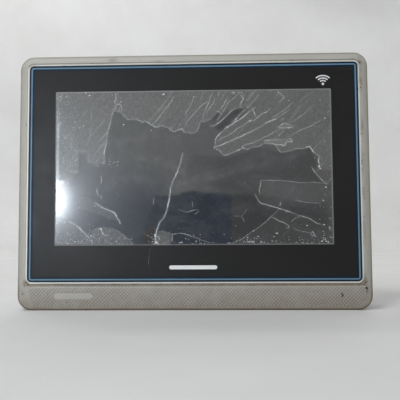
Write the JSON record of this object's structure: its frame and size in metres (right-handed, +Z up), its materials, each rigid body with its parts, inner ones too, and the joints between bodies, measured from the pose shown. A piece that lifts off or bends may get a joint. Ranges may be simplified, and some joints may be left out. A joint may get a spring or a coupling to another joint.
{
  "type": "hmi touch panel",
  "caption": "Panel-mounted operator terminal: framed widescreen touch display with a cracked screen, sealed bezel, stepped rear case, sockets, switches and battery door.",
  "frame": {"origin": "centre of the panel cut-out, on the panel face that the gasket meets", "axes": "+X to the right seen from the front, +Z up, the front faces -Y and +Y goes into the cabinet"},
  "size_m": [0.2, 0.0376, 0.146],
  "materials": {
    "bezel_plastic": "fine moulded texture",
    "black_film": "glossy printed film",
    "touch_glass": "cracked glass",
    "tape": "foam tape",
    "gasket_rubber": "soft sealing rubber",
    "steel": "stamped",
    "screw_steel": "zinc plated",
    "lcd_dark": "dark display glass",
    "light_guide": "white",
    "circuit_board": "solder mask",
    "chip_black": "moulded",
    "aluminium_fins": "extruded",
    "flex_amber": "polyimide",
    "connector_cream": "moulded",
    "case_plastic": "fine moulded texture",
    "brass_screw": "plain",
    "label_paper": "blank label",
    "cell_steel": "nickel plated",
    "socket_green": "moulded",
    "insert_blue": "moulded",
    "gold_pins": "gold plated",
    "white_plastic": "moulded",
    "switch_red": "moulded"
  },
  "bodies": {
    "housing": {"front_bezel": "bezel_plastic", "front_film": "black_film", "touch_glass": "touch_glass", "glass_tape": "tape", "lcd_foam": "tape", "panel_gasket": "gasket_rubber", "lcd_frame": "steel", "display_tray": "steel", "com1_shell": "steel", "com2_shell": "steel", "usb_host_shell": "steel", "usb_device_shell": "steel", "ethernet_jack": "steel", "tray_screws": "screw_steel", "board_screws": "screw_steel", "case_screws": "screw_steel", "jack_nuts": "screw_steel", "lcd_glass": "lcd_dark", "backlight_unit": "light_guide", "led_bar": "light_guide", "main_board": "circuit_board", "wireless_module": "circuit_board", "processor": "chip_black", "memory_chips": "chip_black", "flash_chip": "chip_black", "power_inductor": "chip_black", "buzzer": "chip_black", "coin_cell_holder": "chip_black", "usb_host_tongue": "chip_black", "reset_switch_base": "chip_black", "heat_spreader": "aluminium_fins", "bulk_capacitors": "aluminium_fins", "lcd_flex": "flex_amber", "touch_tail": "flex_amber", "lcd_flex_socket": "connector_cream", "touch_tail_socket": "connector_cream", "rear_case": "case_plastic", "ground_screw": "brass_screw", "rear_label": "label_paper", "coin_cell": "cell_steel", "power_socket": "socket_green", "com1_insert": "insert_blue", "com2_insert": "insert_blue", "com1_pins": "gold_pins", "com2_pins": "gold_pins", "ethernet_contacts": "gold_pins", "usb_device_tongue": "white_plastic", "dip_switch_body": "switch_red"},
    "power_plug": {"power_plug": "socket_green"},
    "terminal_screw_1": {"terminal_screw_1": "screw_steel"},
    "terminal_screw_2": {"terminal_screw_2": "screw_steel"},
    "terminal_screw_3": {"terminal_screw_3": "screw_steel"},
    "battery_door": {"battery_door": "case_plastic"},
    "reset_button": {"reset_button": "white_plastic"},
    "dip_slider_1": {"dip_slider_1": "white_plastic"},
    "dip_slider_2": {"dip_slider_2": "white_plastic"},
    "dip_slider_3": {"dip_slider_3": "white_plastic"},
    "dip_slider_4": {"dip_slider_4": "white_plastic"}
  },
  "joints": [
    {"name": "plug_pull", "type": "slide", "parent": "housing", "child": "power_plug", "axis": [0, 0, -1], "range_m": [0, 0.012]},
    {"name": "terminal_screw_1_turn", "type": "hinge", "parent": "power_plug", "child": "terminal_screw_1", "pos_m": [-0.07508, 0.0215, -0.0355], "axis": [0, 1, 0], "continuous": true},
    {"name": "terminal_screw_2_turn", "type": "hinge", "parent": "power_plug", "child": "terminal_screw_2", "pos_m": [-0.07, 0.0215, -0.0355], "axis": [0, 1, 0], "continuous": true},
    {"name": "terminal_screw_3_turn", "type": "hinge", "parent": "power_plug", "child": "terminal_screw_3", "pos_m": [-0.06492, 0.0215, -0.0355], "axis": [0, 1, 0], "continuous": true},
    {"name": "battery_door_hinge", "type": "hinge", "parent": "housing", "child": "battery_door", "pos_m": [0.058, 0.0298, 0.0264], "axis": [-1, 0, 0], "range_deg": [0, 100]},
    {"name": "reset_press", "type": "slide", "parent": "housing", "child": "reset_button", "axis": [0, -1, 0], "range_m": [0, 0.0007], "stiffness_N_per_m": 300},
    {"name": "dip_slide_1", "type": "slide", "parent": "housing", "child": "dip_slider_1", "axis": [0, 0, 1], "range_m": [0, 0.0015]},
    {"name": "dip_slide_2", "type": "slide", "parent": "housing", "child": "dip_slider_2", "axis": [0, 0, 1], "range_m": [0, 0.0015]},
    {"name": "dip_slide_3", "type": "slide", "parent": "housing", "child": "dip_slider_3", "axis": [0, 0, 1], "range_m": [0, 0.0015]},
    {"name": "dip_slide_4", "type": "slide", "parent": "housing", "child": "dip_slider_4", "axis": [0, 0, 1], "range_m": [0, 0.0015]}
  ]
}
